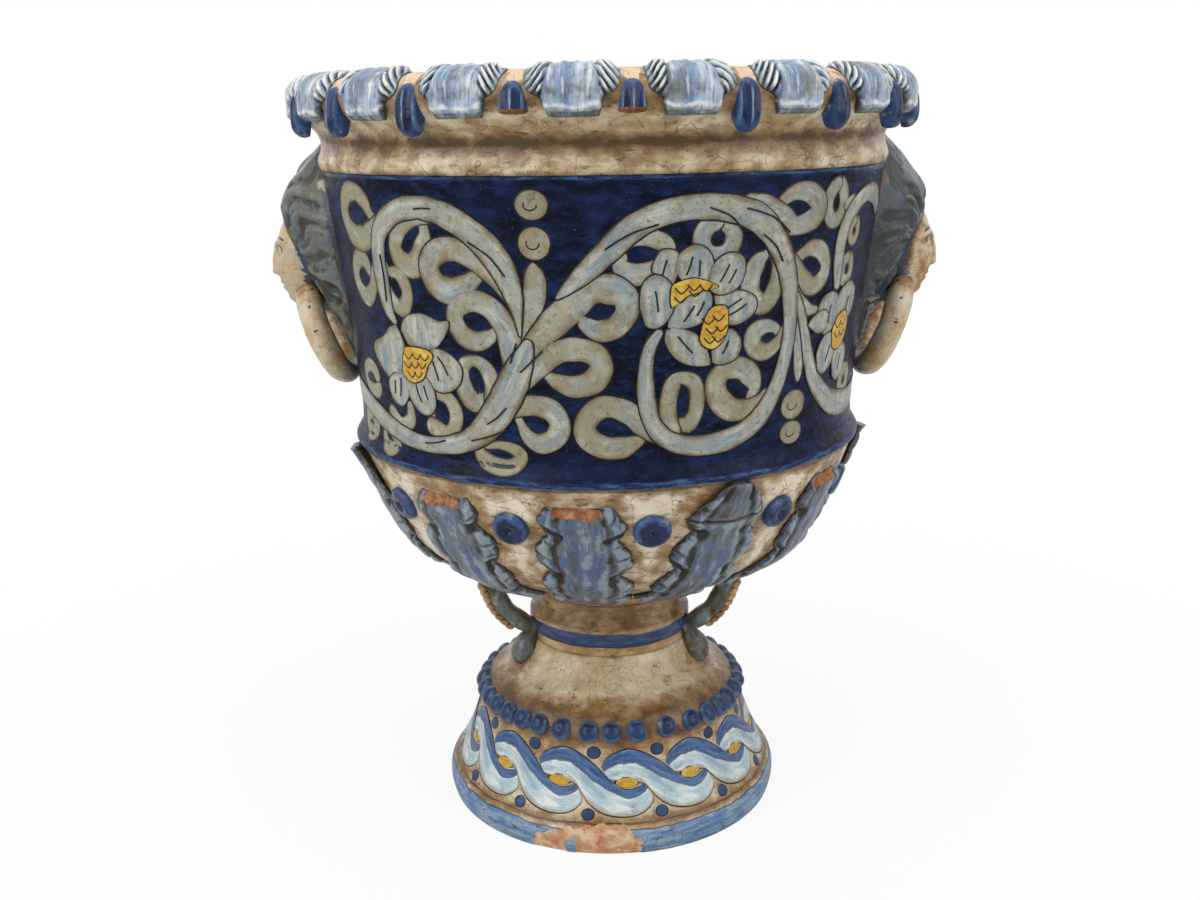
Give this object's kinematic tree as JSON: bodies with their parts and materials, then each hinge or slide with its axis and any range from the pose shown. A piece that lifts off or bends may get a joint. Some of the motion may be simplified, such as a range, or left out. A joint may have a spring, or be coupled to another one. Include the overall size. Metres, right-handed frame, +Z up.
{
  "type": "krater vase",
  "caption": "Bell-footed krater vase of painted tin-glazed earthenware with mask handles, scroll brackets, applied leaves and a leafy rim.",
  "frame": {"origin": "on the floor, at the middle of the foot", "axes": "+Z up along the vase's axis, -Y towards the front that the picture shows, the two masks on +X and -X"},
  "size_m": [0.4506, 0.4062, 0.5022],
  "materials": {
    "cream_glaze": "cream tin glaze with brown stain in the hollows and fine crackle",
    "cobalt_ground_glaze": "deep cobalt ground, brushed, with pale scrollwork painted over it",
    "leaf_glaze": "streaked grey-blue glaze with cream high spots and brown edges",
    "dark_blue_glaze": "glossy dark blue glaze, thinner and lighter on the edges",
    "mottled_glaze": "mottled blue, green and brown glaze"
  },
  "bodies": {
    "root": {"foot": "cream_glaze", "stem": "dark_blue_glaze", "bowl": "cream_glaze", "drum": "cobalt_ground_glaze", "rim": "cream_glaze", "rim_leaf_01": "leaf_glaze", "rim_leaf_02": "leaf_glaze", "rim_leaf_03": "leaf_glaze", "rim_leaf_04": "leaf_glaze", "rim_leaf_05": "leaf_glaze", "rim_leaf_06": "leaf_glaze", "rim_leaf_07": "leaf_glaze", "rim_leaf_08": "leaf_glaze", "rim_leaf_09": "leaf_glaze", "rim_leaf_10": "leaf_glaze", "rim_leaf_11": "leaf_glaze", "rim_leaf_12": "leaf_glaze", "rim_leaf_13": "leaf_glaze", "rim_leaf_14": "leaf_glaze", "rim_leaf_15": "leaf_glaze", "rim_leaf_16": "leaf_glaze", "rim_leaf_17": "leaf_glaze", "rim_leaf_18": "leaf_glaze", "rim_leaf_19": "leaf_glaze", "rim_leaf_20": "leaf_glaze", "bowl_leaf_01": "leaf_glaze", "bowl_leaf_02": "leaf_glaze", "bowl_leaf_03": "leaf_glaze", "bowl_leaf_04": "leaf_glaze", "bowl_leaf_05": "leaf_glaze", "bowl_leaf_06": "leaf_glaze", "bowl_leaf_07": "leaf_glaze", "bowl_leaf_08": "leaf_glaze", "bowl_leaf_09": "leaf_glaze", "bowl_leaf_10": "leaf_glaze", "bowl_leaf_11": "leaf_glaze", "bowl_leaf_12": "leaf_glaze", "button_01": "dark_blue_glaze", "button_02": "dark_blue_glaze", "button_03": "dark_blue_glaze", "button_04": "dark_blue_glaze", "button_05": "dark_blue_glaze", "button_06": "dark_blue_glaze", "button_07": "dark_blue_glaze", "button_08": "dark_blue_glaze", "button_09": "dark_blue_glaze", "button_10": "dark_blue_glaze", "button_11": "dark_blue_glaze", "button_12": "dark_blue_glaze", "mask_left": "mottled_glaze", "mask_right": "mottled_glaze", "mask_ring_left": "cream_glaze", "mask_ring_right": "cream_glaze", "bracket_left": "mottled_glaze", "bracket_right": "mottled_glaze"}
  },
  "joints": []
}
